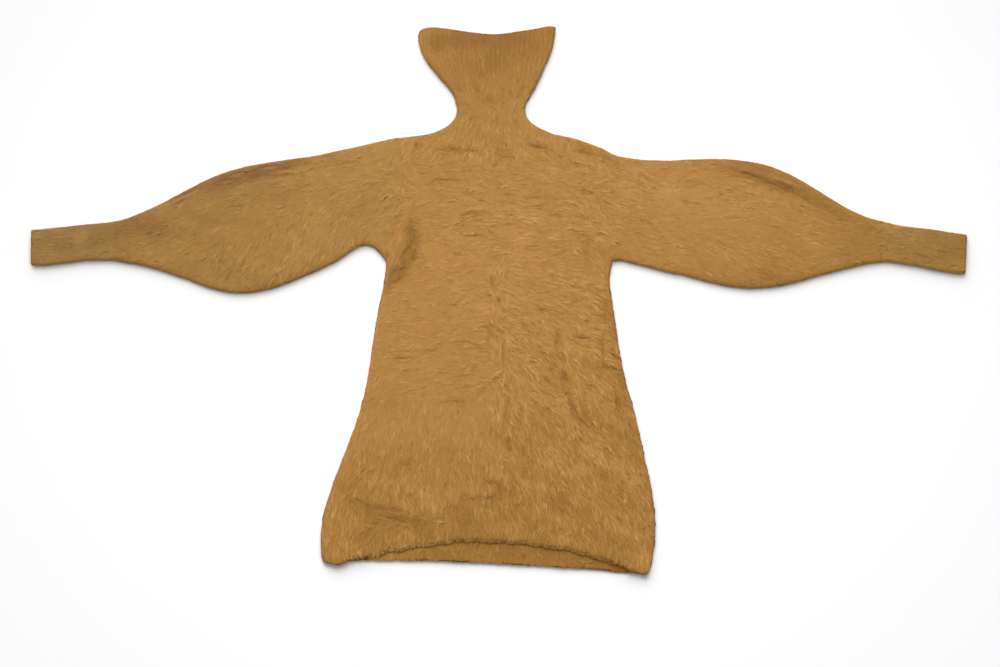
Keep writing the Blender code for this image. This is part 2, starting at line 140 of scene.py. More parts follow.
# narrow folds and pinches, finer than the cloth mesh: they are cut into the relief of the coat
pinches = strokesFrom([
    (-578, 146, -552, 160, -528, 172, 3.5, -1.6), (-408, 202, -374, 206, -345, 203, 3.1, 0.9),
    (-312, 214, -280, 221, -250, 224, 3.9, -1.1), (330, 183, 343, 184, 354, 182, 3.1, -1.1),
    (516, 168, 532, 154, 548, 138, 590, 120, 4.5, -0.7), (478, 194, 508, 184, 540, 170, 3.9, 1.1),
    (184, 236, 200, 229, 218, 214, 4.0, -0.8), (148, 168, 160, 161, 170, 158, 3.1, -1.4),
    (143, 118, 150, 108, 162, 105, 3.5, -1.6), (150, 60, 156, 30, 150, 0, 3.9, -1.2),
    (-205, 195, -188, 200, -172, 203, 3.1, -1.4), (-142, 80, -152, 56, -170, 30, 3.9, -1.6),
    (-176, 20, -182, -4, -186, -18, 6.0, -1.5), (-124, 178, -110, 187, -80, 186, -52, 184, 2.7, -1.0),
    (-70, 122, -42, 128, -18, 130, 3.1, 0.8), (-70, 114, -42, 120, -18, 122, 2.3, -0.9),
    (-182, 158, -166, 150, -150, 150, 3.1, -1.2), (2, 238, 12, 234, 22, 236, 2.7, -1.1),
    (-116, 250, -90, 246, -66, 248, 3.5, -0.6), (-8, 247, 6, 249, 24, 246, 2.7, -0.7),
    (50, 262, 68, 258, 84, 252, 3.5, -1.3), (112, -206, 124, -262, 166, -298, 3.9, -1.9),
    (108, -112, 114, -160, 126, -210, 3.9, 0.9), (196, -130, 204, -165, 214, -195, 3.9, 0.8),
    (16, -230, 12, -262, 20, -290, 3.9, -1.1), (-60, -398, -20, -404, 4, -396, 3.9, -1.3),
    (-238, -402, -200, -418, -150, -424, 6.0, -1.2), (-210, -446, -150, -440, -90, -436, 6.0, -0.9),
    (122, -507, 146, -503, 172, -510, 2.7, 1.0), (118, -500, 146, -497, 176, -503, 2.3, -1.2),
    (-60, 157, -40, 156, -23, 156, 2.3, -1.1), (-52, 111, -38, 115, -22, 113, 2.3, -0.9),
    (6, 160, 18, 156, 32, 154, 2.3, -1.1), (42, 153, 64, 150, 85, 151, 2.3, -1.0),
    (16, 115, 21, 116, 28, 117, 2.2, -1.4), (7, 95, 16, 97, 26, 95, 2.3, -1.2),
    (50, 132, 65, 134, 81, 134, 2.2, -1.0), (58, 113, 65, 112, 72, 113, 2.2, -1.0),
    (-59, 75, -43, 74, -29, 77, 2.3, -1.1), (50, 55, 61, 53, 71, 54, 2.2, -1.2),
    (-24, 95, -17, 85, -8, 73, 2.3, -1.0), (82, 115, 95, 115, 109, 113, 2.3, -0.9),
    (123, -121, 138, -122, 155, -119, 2.7, -1.5), (176, -170, 190, -176, 205, -183, 2.7, -1.5),
    (124, -57, 138, -51, 152, -43, 2.3, -1.1), (68, -68, 75, -69, 83, -68, 2.3, -1.2),
    (131, -234, 143, -262, 165, -301, 3.1, -1.4), (179, -45, 183, -68, 176, -91, 3.1, -1.1),
    (10, -283, 15, -311, 23, -332, 3.1, -1.2), (21, -349, 24, -369, 18, -389, 3.9, -1.4),
    (-161, -339, -153, -347, -143, -349, 3.9, -1.4), (-148, -352, -143, -340, -142, -328, 2.3, -1.2),
    (-146, -396, -141, -399, -135, -396, 3.9, -1.2), (-24, -372, -12, -377, 0, -376, 3.1, -1.2),
    (-188, -430, -172, -435, -153, -438, 3.9, -1.2), (-216, -234, -206, -232, -193, -234, 2.3, -1.2),
    (-92, -237, -72, -236, -47, -237, 2.3, -0.8), (-174, -158, -160, -159, -145, -158, 2.3, -0.9),
    (-126, -143, -112, -145, -99, -143, 2.3, -0.8), (-78, -190, -65, -192, -48, -190, 2.3, -0.8),
    (556, 132, 573, 123, 600, 108, 3.5, -0.6), (247, 107, 253, 103, 260, 105, 2.3, -1.2),
    (390, 160, 393, 156, 400, 154, 2.3, -1.2), (318, 146, 336, 139, 353, 137, 2.3, -0.9),
    (401, 111, 414, 109, 432, 109, 2.3, -0.8), (377, 65, 386, 57, 400, 51, 2.3, -1.0),
    (-794, 28, -788, 31, -780, 37, 2.3, -0.8), (-716, 34, -707, 36, -697, 37, 2.2, -0.9),
    (-687, 39, -682, 41, -677, 44, 2.2, -0.8), (-748, 59, -744, 57, -739, 57, 2.2, -0.8),
    (-783, 77, -773, 75, -762, 76, 2.7, -0.7), (-752, 86, -746, 85, -738, 87, 2.3, -0.7),
    (-695, 67, -690, 66, -685, 67, 2.3, -0.7), (698, 86, 707, 86, 723, 88, 2.2, -0.7),
    (749, 77, 756, 77, 765, 76, 2.3, -0.8), (759, 59, 764, 58, 770, 61, 2.2, -0.8),
    (759, 43, 764, 43, 767, 39, 2.2, -0.8), (680, 51, 688, 47, 697, 45, 2.2, -0.7),
    (774, 15, 782, 15, 791, 16, 2.7, -0.9), (675, 69, 686, 69, 700, 69, 2.0, -0.6),
    (675, 62, 687, 62, 699, 63, 2.0, -0.6), (646, 89, 657, 87, 667, 89, 2.3, -0.7),
    (714, 43, 727, 35, 743, 28, 2.7, -0.8), (-120, 438, -111, 415, -97, 388, 2.7, -0.8),
    (-93, 380, -79, 364, -67, 353, 2.7, -1.0), (-84, 397, -75, 380, -64, 366, 2.3, -0.8),
    (-20, 371, -14, 353, -5, 340, 2.7, -0.8), (-35, 424, -31, 411, -22, 397, 2.3, -0.8),
    (-46, 397, -38, 380, -29, 362, 2.3, -0.7), (0, 366, 7, 366, 11, 353, 2.3, -0.8),
    (39, 371, 46, 384, 55, 397, 2.7, -0.8), (-67, 353, -56, 344, -45, 323, 2.7, -0.8),
    (28, 340, 31, 327, 29, 305, 2.3, -0.8), (-9, 6, -6, -7, 2.2, 1.2), (-19, 1, -15, -24, 2.4, 1.2),
    (-13, -1, -7, -34, 2.4, -1.4), (-13, -30, -6, -62, 2.4, 1.4), (-3, -40, 4, -60, 2.6, -1.6),
    (-14, -89, -9, -100, 2.2, 1.2), (-9, -85, 8, -111, 2.2, 1.3), (-17, -92, -11, -122, 2.8, -1.5),
    (8, -126, 10, -176, 2.6, -1.5), (3, -128, 4, -172, 2.4, 1.1), (4, -203, 14, -221, 2.2, 1.3),
    (10, -205, 17, -219, 2.4, -1.3), (14, 5, 24, -1, 2.4, -1.3), (9, -147, 35, -147, 2.2, -1.1),
    (17, -134, 35, -141, 2.2, 1.1), (-74, -131, -60, -128, -33, -136, 2.0, -0.9),
    (95, -104, 99, -119, 96, -138, 99, -150, 107, -158, 2.8, -1.9), (105, -174, 115, -207, 2.8, -1.6),
    (103, -218, 124, -225, 2.4, -1.3), (177, -106, 175, -138, 177, -174, 204, -183, 3.0, -1.9),
    (185, -147, 195, -156, 203, -157, 2.2, -1.6), (185, -141, 196, -150, 2.2, 1.2),
    (156, -104, 176, -106, 2.6, -1.3), (123, -117, 155, -124, 2.4, -1.0), (194, -218, 199, -264, 3.0, -1.7),
    (119, -239, 130, -262, 2.6, -1.4), (-155, 97, -152, 65, 2.0, -1.3), (-150, 95, -147, 59, 2.0, -1.2),
    (-151, 61, -146, 31, 2.0, 1.1), (-188, -19, -172, -13, -161, 1, 3.0, -1.6),
    (-150, 269, -147, 252, 1.8, -1.3), (-142, 269, -140, 252, 1.8, -1.2),
    (-95, 255, -76, 251, -52, 253, 2.6, -0.6), (56, 262, 67, 256, 87, 254, 2.2, -1.3),
    (142, 252, 156, 243, 174, 241, 2.8, -1.8), (409, 213, 433, 203, 450, 201, 2.8, -1.6),
    (433, 207, 450, 196, 474, 188, 2.8, -1.9), (458, 190, 477, 182, 497, 176, 2.6, -1.6),
    (501, 172, 530, 156, 555, 133, 2.4, -1.1), (-500, 184, -484, 188, -469, 192, 2.6, -1.5),
    (-480, 196, -464, 203, -449, 207, 2.6, -1.7), (-436, 209, -412, 217, -386, 219, 2.6, -1.4),
    (-570, 135, -557, 146, -544, 154, 2.6, -1.2), (-478, 129, -468, 133, -449, 131, 2.0, -0.9),
    (-523, 22, -506, 28, -495, 35, 2.0, -0.9), (-489, 12, -477, 28, -471, 41, 2.0, -0.9),
    (-444, 8, -436, 28, 2.0, -0.9),
])

# mostly painted shade and light on the coat, with some of the pile's own tone: darker in troughs, folds and
# along the sleeves' tops, and towards the sleeves' ends, the collar's top and the hem, where the light falls
# off; lighter on rolls and where the light pools. Here the height is a step of tone
paintedShading = strokesFrom([
    (-610, 150, -500, 206, -410, 226, -300, 246, 17, -0.42),
    (340, 236, 430, 228, 520, 192, 590, 146, 13, -0.3), (390, 202, 440, 198, 512, 174, 7, -0.22),
    (130, -511, 190, -519, 11, -0.4), (-110, 505, 0, 505, 90, 508, 26, -0.44),
    (-40, 455, 50, 455, 55, -0.3), (-122, 492, -112, 470, 13, -0.3), (-112, 258, -60, 254, 9, -0.22),
    (-148, 100, -140, 60, -142, 36, -170, 0, 12, -0.5), (-560, 160, -460, 175, -340, 190, 30, -0.2),
    (-480, 110, -330, 130, -220, 130, 50, -0.08), (200, 190, 300, 160, 420, 130, 50, 0.16),
    (-130, 200, -40, 190, 20, 200, 45, -0.04), (-70, 500, -50, 420, -48, 330, 40, -0.12),
    (136, 254, 166, 244, 205, 224, 9, -0.28), (-150, 70, -160, 25, -180, -20, 14, -0.35),
    (-200, -470, -100, -460, 50, -460, 180, -470, 50, -0.1),
    (-244, -405, -180, -428, -112, -440, 18, -0.08), (-60, -420, 0, -400, 16, -0.16),
    (190, -60, 200, -200, 222, -320, 16, -0.22), (-480, 15, -400, -10, -320, 5, 18, -0.15),
    (330, 0, 420, -12, 500, 5, 18, -0.15), (40, 160, 60, 100, 20, 40, 70, 0.06),
    (-820, 84, -760, 84, -690, 90, 60, -0.45), (690, 72, 760, 60, 820, 50, 60, -0.45),
    (-240, -390, 0, -370, 240, -390, 100, -0.12),
    (438, 201, 490, 184, 532, 166, 567, 135, 613, 107, 12, -0.3), (128, -507, 146, -504, 166, -508, 6, 0.3),
    (-212, -70, -232, -200, -262, -340, 16, 0.2), (203, -60, 216, -180, 240, -330, 14, 0.18),
    (-60, 10, 20, -50, 120, -60, 60, 0.08), (-40, 130, 60, 120, 80, 0.05),
    (-680, 78, -600, 92, -560, 92, 34, -0.42), (590, 92, 650, 84, 34, -0.12),
    (-150, -395, -120, -400, -90, -395, 26, 0.12), (-216, -506, -150, -482, -86, -470, 8, 0.28),
    (-508, 168, -450, 190, -373, 208, 12, -0.34), (-500, 130, -490, 40, 40, -0.1),
    (740, 60, 800, 55, 40, -0.14), (-430, 120, -420, 60, 50, -0.08), (-330, 150, -300, 60, 60, 0.04),
    (-216, -505, -150, -478, -30, -466, 80, -476, 150, -496, 178, -515, 6, 0.15),
])


# how far each spot is from a stroke, how far along it and which way the stroke runs there
def nearStroke(path, spots):
    path = np.array(path, float)
    nearest = np.full(len(spots), 1e9)
    share = np.zeros(len(spots))
    heading = np.zeros(len(spots))
    pieces = len(path) - 1
    for i in range(pieces):
        run = path[i + 1] - path[i]
        t = ((spots - path[i]) @ run / (run @ run)).clip(0, 1)
        gap = np.linalg.norm(spots - path[i] - t[:, None] * run, axis=1)
        closer = gap < nearest
        nearest[closer] = gap[closer]
        share[closer] = (i + t[closer]) / pieces
        heading[closer] = math.atan2(run[1], run[0])
    return nearest, share, heading


# strokes fade towards their ends; the start share is how far along the fade they begin
def alongStrokes(strokes, places, start, first=0):
    height = np.zeros(len(places))
    for number, (path, halfWidth, depth) in enumerate(strokes):
        nearest, share, _ = nearStroke(path, places)
        fade = np.sin(math.pi * (start + (1 - 2 * start) * share)) ** 0.8
        uneven = 1 + 0.35 * wander(places, 60, 40 + first + number)
        height += depth * fade * uneven * np.exp(-((nearest / halfWidth) ** 2))
    return height


# how the pile is brushed: place in millimetres, heading in degrees (0 is +X, 90 is up the body),
# and how ruffled it is there, from 0 for sleek to 1 for tufts that stand and swirl
brushing = [
    (-120, 205, 182, 0.14), (-40, 200, 176, 0.2), (50, 205, 182, 0.24), (120, 190, 172, 0.26),
    (-120, 150, 184, 0.22), (-40, 150, 178, 0.3), (50, 150, 176, 0.3), (110, 150, 178, 0.28),
    (-120, 100, 186, 0.16), (-40, 100, 182, 0.26), (40, 110, 176, 0.3), (120, 90, 172, 0.26),
    (-100, 30, 184, 0.12), (50, 30, 176, 0.24), (140, 20, 170, 0.28), (-40, 40, 184, 0.18),
    (-6, 12, -100, 0.45), (2, -60, -84, 0.58), (4, -140, -80, 0.6), (6, -220, -76, 0.58),
    (-34, 0, 186, 0.12), (-30, -60, 186, 0.12), (-28, -120, 188, 0.14), (-30, -180, 190, 0.16),
    (34, -12, 172, 0.28), (34, -70, -18, 0.45), (-110, -40, 184, 0.07), (-160, -90, 188, 0.08),
    (-90, -100, 184, 0.08), (-100, -150, 186, 0.08), (-180, -165, 190, 0.12), (-70, -208, 186, 0.1),
    (-140, -212, 188, 0.1), (-205, -215, -120, 0.18), (-60, -252, -98, 0.14), (-130, -262, -98, 0.14),
    (-190, -275, -104, 0.26), (-100, -330, -94, 0.3), (-150, -330, -96, 0.46), (-210, -370, -102, 0.52),
    (45, -120, -24, 0.54), (95, -90, -32, 0.5), (165, -80, -24, 0.5), (182, -165, -36, 0.66),
    (70, -230, -40, 0.58), (125, -190, -56, 0.68), (190, -260, -62, 0.66), (150, -300, -62, 0.66),
    (50, -300, -68, 0.6), (100, -340, -66, 0.64), (-20, -330, -82, 0.44), (10, -380, -74, 0.74),
    (80, -390, -70, 0.64), (170, -380, -62, 0.74), (215, -430, -68, 0.72), (130, -450, -76, 0.66),
    (40, -450, -84, 0.6), (-60, -400, -90, 0.5), (-120, -400, -92, 0.44), (-50, -450, -88, 0.58),
    (-140, -450, -92, 0.66), (-215, -440, -100, 0.6), (-240, -490, -84, 0.6), (-170, -492, -88, 0.6),
    (-80, -482, -90, 0.55), (20, -482, -90, 0.55), (120, -490, -86, 0.55), (205, -500, -84, 0.66),
    (230, -380, -72, 0.6), (-255, -340, -104, 0.35), (-172, 250, -120, 0.24), (-166, 190, -60, 0.28),
    (-170, 130, -140, 0.32), (-182, 60, -105, 0.34), (184, 225, -50, 0.34), (164, 180, 20, 0.5),
    (160, 130, -60, 0.54), (170, 80, -20, 0.5), (182, 30, -70, 0.48), (-230, 200, 190, 0.14),
    (-225, 130, 220, 0.26), (-240, 70, 236, 0.2), (-300, 215, 186, 0.12), (-300, 150, 214, 0.2),
    (-310, 80, 248, 0.24), (-280, 30, 250, 0.28), (-390, 205, 190, 0.2), (-390, 140, 204, 0.08),
    (-380, 80, 246, 0.2), (-350, 20, 256, 0.38), (-410, 0, 246, 0.42), (-480, 165, 200, 0.12),
    (-470, 100, 212, 0.1), (-470, 30, 236, 0.4), (-560, 110, 200, 0.12), (-550, 40, 215, 0.3),
    (-640, 85, 186, 0.1), (-760, 90, 182, 0.24), (225, 190, -24, 0.26), (230, 110, -14, 0.26),
    (240, 50, -30, 0.28), (310, 200, 2, 0.12), (320, 120, -6, 0.1), (310, 30, -24, 0.26),
    (400, 215, -6, 0.14), (400, 110, -8, 0.06), (385, 10, -40, 0.34), (445, 192, -15, 0.34),
    (505, 168, -25, 0.32), (490, 90, -10, 0.1), (480, 5, -22, 0.34), (570, 120, -18, 0.16),
    (570, 40, -6, 0.24), (650, 80, -2, 0.14), (760, 60, 0, 0.24), (-135, 500, -80, 0.1), (0, 500, -90, 0.1),
    (90, 510, -100, 0.1), (-100, 440, -66, 0.12), (-50, 450, -84, 0.12), (0, 450, -90, 0.14),
    (40, 450, -96, 0.14), (82, 450, -112, 0.14), (-70, 370, -74, 0.28), (-30, 370, -86, 0.3),
    (10, 360, -92, 0.34), (42, 370, -104, 0.28), (-60, 300, -112, 0.34), (0, 300, -92, 0.36),
    (50, 300, -70, 0.34), (-110, 262, -130, 0.4), (-40, 250, -100, 0.5), (30, 250, -80, 0.5),
    (90, 256, -52, 0.45),
]

# fields over the whole garment on one grid, in millimetres: the pile's lie, its ruffle and its relief
fieldStep = 1.0
fieldLow = np.array([-830.0, -546.0])
fieldSize = (1662, 1094)


def fieldPlaces():
    across = fieldLow[0] + fieldStep * np.arange(fieldSize[0])
    upward = fieldLow[1] + fieldStep * np.arange(fieldSize[1])
    return np.stack(np.meshgrid(across, upward, indexing="ij"), axis=-1).reshape(-1, 2)


# the part of the field around one stroke
def windowOf(path, halfWidth):
    low = (np.min(path, axis=0) - 3 * halfWidth - fieldLow) / fieldStep
    high = (np.max(path, axis=0) + 3 * halfWidth - fieldLow) / fieldStep
    return tuple(slice(max(int(a), 0), int(b) + 1) for a, b in zip(low, high))


def onField(strokes):
    field = np.zeros(fieldSize)
    places = fieldPlaces().reshape(*fieldSize, 2)
    for number, stroke in enumerate(strokes):
        window = windowOf(stroke[0], stroke[1])
        spots = places[window]
        field[window] += alongStrokes([stroke], spots.reshape(-1, 2), 0.0, number).reshape(spots.shape[:2])
    return field


def inField(places):
    at = np.round((places - fieldLow) / fieldStep).astype(int)
    return at[:, 0].clip(0, fieldSize[0] - 1), at[:, 1].clip(0, fieldSize[1] - 1)


# how far a mark of the brushing reaches, how the lie wanders around it and how hair lies along a narrow fold
combing = {"reach": 22, "broadWave": 60, "broadTurn": 0.13, "fineWave": 24, "fineTurn": 0.06,
           "ruffledTurn": 0.38, "besideFold": 0.85, "foldReach": 1.3}


# beside a narrow fold the hair lies along it
def turnAlong(places, blended):
    for path, halfWidth, height in pinches:
        window = windowOf(path, 1.2 * halfWidth)
        spots = places[window]
        gap, _, heading = nearStroke(path, spots.reshape(-1, 2))
        share = combing["besideFold"] * np.exp(-((gap / (combing["foldReach"] * halfWidth)) ** 2))[:, None]
        along = np.stack([np.cos(2 * heading), np.sin(2 * heading)], axis=1)
        turned = mixed(blended[window][..., :2].reshape(-1, 2), along, share)
        blended[window][..., :2] = turned.reshape(*spots.shape[:2], 2)


# hair has a lie with two ends, so directions are averaged doubled and the sense is settled afterwards
def combField():
    marks = np.array(brushing, float)
    headings = np.radians(marks[:, 2])
    columns = np.stack([np.cos(2 * headings), np.sin(2 * headings), np.cos(headings), np.sin(headings),
                        marks[:, 3]], axis=1)
    places = fieldPlaces()
    blended = []
    for part in np.array_split(places, 100):
        apart = ((part[:, None, :] - marks[None, :, :2]) ** 2).sum(axis=2)
        weights = 1 / (apart + combing["reach"] ** 2) ** 2
        blended.append(weights @ columns / weights.sum(axis=1)[:, None])
    blended = np.concatenate(blended)
    turnAlong(places.reshape(*fieldSize, 2), blended.reshape(*fieldSize, 5))
    lie = 0.5 * np.arctan2(blended[:, 1], blended[:, 0])
    backward = np.cos(lie) * blended[:, 2] + np.sin(lie) * blended[:, 3] < 0
    lie = lie + math.pi * backward
    ruffle = blended[:, 4]
    lie = lie + combing["broadTurn"] * wander(places, combing["broadWave"], 7)
    fineTurn = combing["fineTurn"] + combing["ruffledTurn"] * ruffle ** 1.3
    lie = lie + fineTurn * wander(places, combing["fineWave"], 8)
    comb = np.stack([np.cos(lie), np.sin(lie)], axis=1).reshape(*fieldSize, 2)
    return comb, ruffle.reshape(fieldSize)


def blurred(field, passes):
    for _ in range(passes):
        field = (field + np.roll(field, 1, axis=0) + np.roll(field, -1, axis=0)) / 3
        field = (field + np.roll(field, 1, axis=1) + np.roll(field, -1, axis=1)) / 3
    return field


# random grain drawn out along the lie, so that it gathers into locks: about zero, with a spread of one
def combedGrain(comb, softness, reach, seed):
    grain = blurred(np.random.default_rng(seed).normal(0, 1, fieldSize), softness)
    drawn = grain.ravel().copy()
    for sense in (1, -1):
        at = fieldPlaces()
        heading = comb.reshape(-1, 2) * sense
        for step in range(1, reach + 1):
            at = at + heading * fieldStep
            i, j = inField(at)
            turned = comb[i, j]
            against = (turned * heading).sum(axis=1) < 0
            heading = np.where(against[:, None], -turned, turned)
            drawn += (1 - step / (reach + 1)) * grain[i, j]
    drawn = drawn.reshape(fieldSize)
    return (drawn - drawn.mean()) / drawn.std()


# materials: all the hair is one camel, a little redder or greyer from piece to piece

camel = {
    "body": {"low": "#96682A", "middle": "#AC7B39", "high": "#C4934D"},
    "sleeve_left": {"low": "#8F6630", "middle": "#A87B3B", "high": "#BF9250"},
    "sleeve_right": {"low": "#96682A", "middle": "#AB7B3A", "high": "#C2914E"},
    "cuff_left": {"low": "#916C35", "middle": "#AA8243", "high": "#C09858"},
    "cuff_right": {"low": "#977033", "middle": "#B18642", "high": "#C79C56"},
    "collar": {"low": "#946527", "middle": "#A97936", "high": "#BF8F4A"},
}
# in the knitted ground, sunk is painted shade: the ground is painted darker where the pile is ruffled, for
# the shade in the deep gaps between its locks
knit = {"hairPitch": 1.1, "drawnOut": 0.06, "streak": 0.6, "relief": 1.0, "tone": 0.59, "sunk": 0.5}
# the hair's look: its strands' streaks and small dark specks, and the painted shade at the lock roots where
# the pile is sleek and where it is ruffled
hairLook = {"sleekStreak": 0.26, "ruffledStreak": 0.62, "ruffledFrom": 0.6, "speckPitch": 5.0, "speck": 0.2,
            "sleekRootShade": 0.97, "ruffledRootShade": 0.82, "rootShadeFrom": 0.5}


def newMaterial(name):
    material = bpy.data.materials.new(name)
    material.use_nodes = True
    material.node_tree.nodes.clear()
    return material, material.node_tree


# noise streaks the tone, which picks a colour between the dye's low and its high
def camelColour(tree, dye, noise, streak, tone):
    centred = addNode(tree, "ShaderNodeMath", {"operation": "SUBTRACT"}, {0: noise.outputs["Fac"], 1: 0.5})
    streaked = addNode(tree, "ShaderNodeMath", {"operation": "MULTIPLY_ADD"}, {
        0: centred.outputs["Value"], 1: streak, 2: tone})
    ramp = addNode(tree, "ShaderNodeValToRGB", inputs={"Fac": streaked.outputs["Value"]})
    setRamp(ramp.color_ramp, [(place, linear(camel[dye][name]))
                              for place, name in ((0.0, "low"), (0.5, "middle"), (1.0, "high"))])
    return ramp.outputs["Color"]


# knitted camel wool, felted by brushing: a dull ground with fine hairs drawn along the piece, no shine
def knitGround(name, dye, hairTurn):
    material, tree = newMaterial(name)
    where = addNode(tree, "ShaderNodeTexCoord")
    laid = addNode(tree, "ShaderNodeMapping", inputs={
        "Vector": where.outputs["Object"], "Rotation": (0, 0, math.radians(hairTurn))})
    drawn = addNode(tree, "ShaderNodeMapping", inputs={
        "Vector": laid.outputs["Vector"], "Scale": (knit["drawnOut"], 1.0, 1.0)})
    hairs = addNode(tree, "ShaderNodeTexNoise", inputs={
        "Vector": drawn.outputs["Vector"], "Scale": 1 / (2 * knit["hairPitch"] * mm), "Detail": 2.0,
        "Distortion": 0.6})
    tone = addNode(tree, "ShaderNodeAttribute", {"attribute_name": "tone"})
    relief = addNode(tree, "ShaderNodeBump", inputs={
        "Height": hairs.outputs["Fac"], "Strength": 0.6, "Distance": knit["relief"] * mm})
    cloth = addNode(tree, "ShaderNodeBsdfPrincipled", inputs={
        "Base Color": camelColour(tree, dye, hairs, knit["streak"], tone.outputs["Fac"]), "Roughness": 0.85,
        "Normal": relief.outputs["Normal"], "Specular IOR Level": 0.2})
    addNode(tree, "ShaderNodeOutputMaterial", inputs={"Surface": cloth.outputs["BSDF"]})
    return material


# brushed camel hair: soft locks with a faint bloom, lighter and darker strands in each, and painted shade at
# the roots, deeper where the pile is ruffled.
# Real hairs are too fine to show, so a lock's strands are drawn several hairs wide
def brushedHair(name, dye):
    material, tree = newMaterial(name)
    tone, reach, strand, ruffle = (addNode(tree, "ShaderNodeAttribute", {"attribute_name": layer})
                                   for layer in ("tone", "reach", "strand", "ruffle"))
    strands = addNode(tree, "ShaderNodeTexNoise", inputs={
        "Vector": strand.outputs["Vector"], "Scale": 1.0, "Detail": 1.0})
    where = addNode(tree, "ShaderNodeTexCoord")
    spread = addNode(tree, "ShaderNodeMapRange", inputs={
        "Value": ruffle.outputs["Fac"], "From Max": hairLook["ruffledFrom"],
        "To Min": hairLook["sleekStreak"], "To Max": hairLook["ruffledStreak"]})
    grit = addNode(tree, "ShaderNodeTexNoise", inputs={
        "Vector": where.outputs["Object"], "Scale": 1 / (hairLook["speckPitch"] * mm), "Detail": 2.0})
    speck = addNode(tree, "ShaderNodeMapRange", inputs={
        "Value": grit.outputs["Fac"], "From Min": 0.64, "From Max": 0.76, "To Max": -hairLook["speck"]})
    specked = addNode(tree, "ShaderNodeMath", {"operation": "ADD"}, {
        0: tone.outputs["Fac"], 1: speck.outputs["Result"]})
    # painted shade at the roots: how dark by the ruffle, over the lower half of each lock
    rootShadeDepth = addNode(tree, "ShaderNodeMapRange", inputs={
        "Value": ruffle.outputs["Fac"], "From Max": hairLook["rootShadeFrom"], "To Min": hairLook["sleekRootShade"],
        "To Max": hairLook["ruffledRootShade"]})
    rootShade = addNode(tree, "ShaderNodeMapRange", inputs={
        "Value": reach.outputs["Fac"], "From Max": 0.5, "To Min": rootShadeDepth.outputs["Result"]})
    colour = camelColour(tree, dye, strands, spread.outputs["Result"], specked.outputs["Value"])
    tinted = addNode(tree, "ShaderNodeMix", {"data_type": "RGBA", "blend_type": "MULTIPLY"}, {
        "Factor": 1.0, "A": colour, "B": rootShade.outputs["Result"]})
    hair = addNode(tree, "ShaderNodeBsdfPrincipled", inputs={
        "Base Color": tinted.outputs["Result"], "Roughness": 0.75, "Specular IOR Level": 0.25,
        "Sheen Weight": 0.05})
    addNode(tree, "ShaderNodeOutputMaterial", inputs={"Surface": hair.outputs["BSDF"]})
    return material


# the cloth: each panel takes the form of its solid, rounded and creased
# for each, the turn of its knitted hairs in degrees and its size as knitted in metres, the tubes opened out:
# across, along and the area inside its outline
panels = {
    "front": {"slot": "body_knit", "dye": "body", "hairTurn": 90, "flat": (0.53, 0.82), "area": 0.322},
    "back": {"slot": "body_knit", "dye": "body", "hairTurn": 90, "flat": (0.53, 0.82), "area": 0.342},
    "sleeve_left": {"slot": "sleeve_knit", "dye": "sleeve_left", "hairTurn": 8, "flat": (0.51, 0.50),
                    "area": 0.200},
    "sleeve_right": {"slot": "sleeve_knit", "dye": "sleeve_right", "hairTurn": -8, "flat": (0.51, 0.49),
                     "area": 0.197},
    "cuff_left": {"slot": "cuff_rib", "dye": "cuff_left", "hairTurn": 0, "flat": (0.16, 0.15), "area": 0.021},
    "cuff_right": {"slot": "cuff_rib", "dye": "cuff_right", "hairTurn": 0, "flat": (0.17, 0.15),
                   "area": 0.0225},
    "collar": {"slot": "collar_rib", "dye": "collar", "hairTurn": 90, "flat": (0.52, 0.28), "area": 0.0935},
}

# the cut rims stay full: edges sharper than the angle (in degrees) are held when the cloth is rounded
rims = {"angle": 65, "hold": 0.75}
rounding = {"weld": 0.01, "faceAngle": 30, "shapeAngle": 60, "levels": 2}


def holdRims(panel):
    shape = bmesh.new()
    shape.from_mesh(panel.data)
    held = shape.edges.layers.float.new("crease_edge")
    for edge in shape.edges:
        if len(edge.link_faces) == 2 and edge.calc_face_angle() > math.radians(rims["angle"]):
            edge[held] = rims["hold"]
    shape.to_mesh(panel.data)
    shape.free()


def clothPanel(node):
    panel = bpy.data.objects.new(node + "_cloth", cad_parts[node].data.copy())
    bpy.context.scene.collection.objects.link(panel)
    panel.data.materials.clear()
    deselectAll()
    panel.select_set(True)
    bpy.context.view_layer.objects.active = panel
    bpy.ops.object.mode_set(mode="EDIT")
    bpy.ops.mesh.select_all(action="SELECT")
    bpy.ops.mesh.remove_doubles(threshold=rounding["weld"] * mm)
    bpy.ops.mesh.tris_convert_to_quads(face_threshold=math.radians(rounding["faceAngle"]),
                                       shape_threshold=math.radians(rounding["shapeAngle"]))
    bpy.ops.object.mode_set(mode="OBJECT")
    holdRims(panel)
    smooth = panel.modifiers.new("rounded", "SUBSURF")
    smooth.levels = rounding["levels"]
    smooth.render_levels = rounding["levels"]
    bpy.ops.object.modifier_apply(modifier=smooth.name)
    bpy.ops.object.shade_smooth()
    return panel


# only the upper side is creased: it fades in from the slope on, above a height in millimetres
creased = {"slope": 0.35, "fade": 0.4, "above": 7, "start": 0.08}


def creasePanel(panel):
    points = pointsOf(panel)
    upward = normalsOf(panel)[:, 2]
    height = alongStrokes(creases, points[:, :2] / mm, creased["start"])
    onTop = ((upward - creased["slope"]) / creased["fade"]).clip(0, 1)
    onTop *= points[:, 2] > creased["above"] * mm
    points[:, 2] += height * onTop * mm
    movePoints(panel, points)


# the edges are not cut dead straight: every panel shares one small sway, and the front's hem has its own
sway = {"across": 0.35, "wave": 30, "hem": 1.4, "hemWave": 24, "hemTop": -410, "hemFull": -450}


